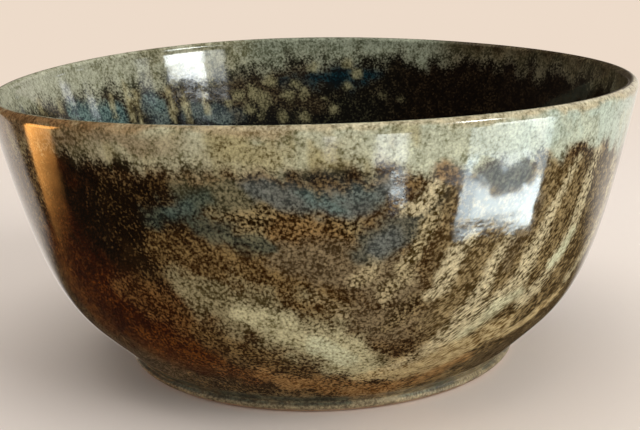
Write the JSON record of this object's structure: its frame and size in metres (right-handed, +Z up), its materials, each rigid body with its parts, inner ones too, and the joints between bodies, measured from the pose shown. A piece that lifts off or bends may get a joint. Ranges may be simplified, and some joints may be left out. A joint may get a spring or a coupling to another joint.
{
  "type": "bowl",
  "caption": "Round wheel-thrown stoneware bowl with a flared rim, full belly and low foot ring, in a glossy mottled glaze; holds food or small things.",
  "frame": {"origin": "centre of the foot ring's resting plane, on the bowl's axis", "axes": "+Z up along the bowl's axis of turning; -Y faces the side that the picture shows"},
  "size_m": [0.1766, 0.1766, 0.0788],
  "materials": {
    "glazed_stoneware": "glossy reactive glaze, mottled brown, olive, celadon and blue, with a bare buff clay foot"
  },
  "bodies": {
    "root": {"bowl": "glazed_stoneware"}
  },
  "joints": []
}
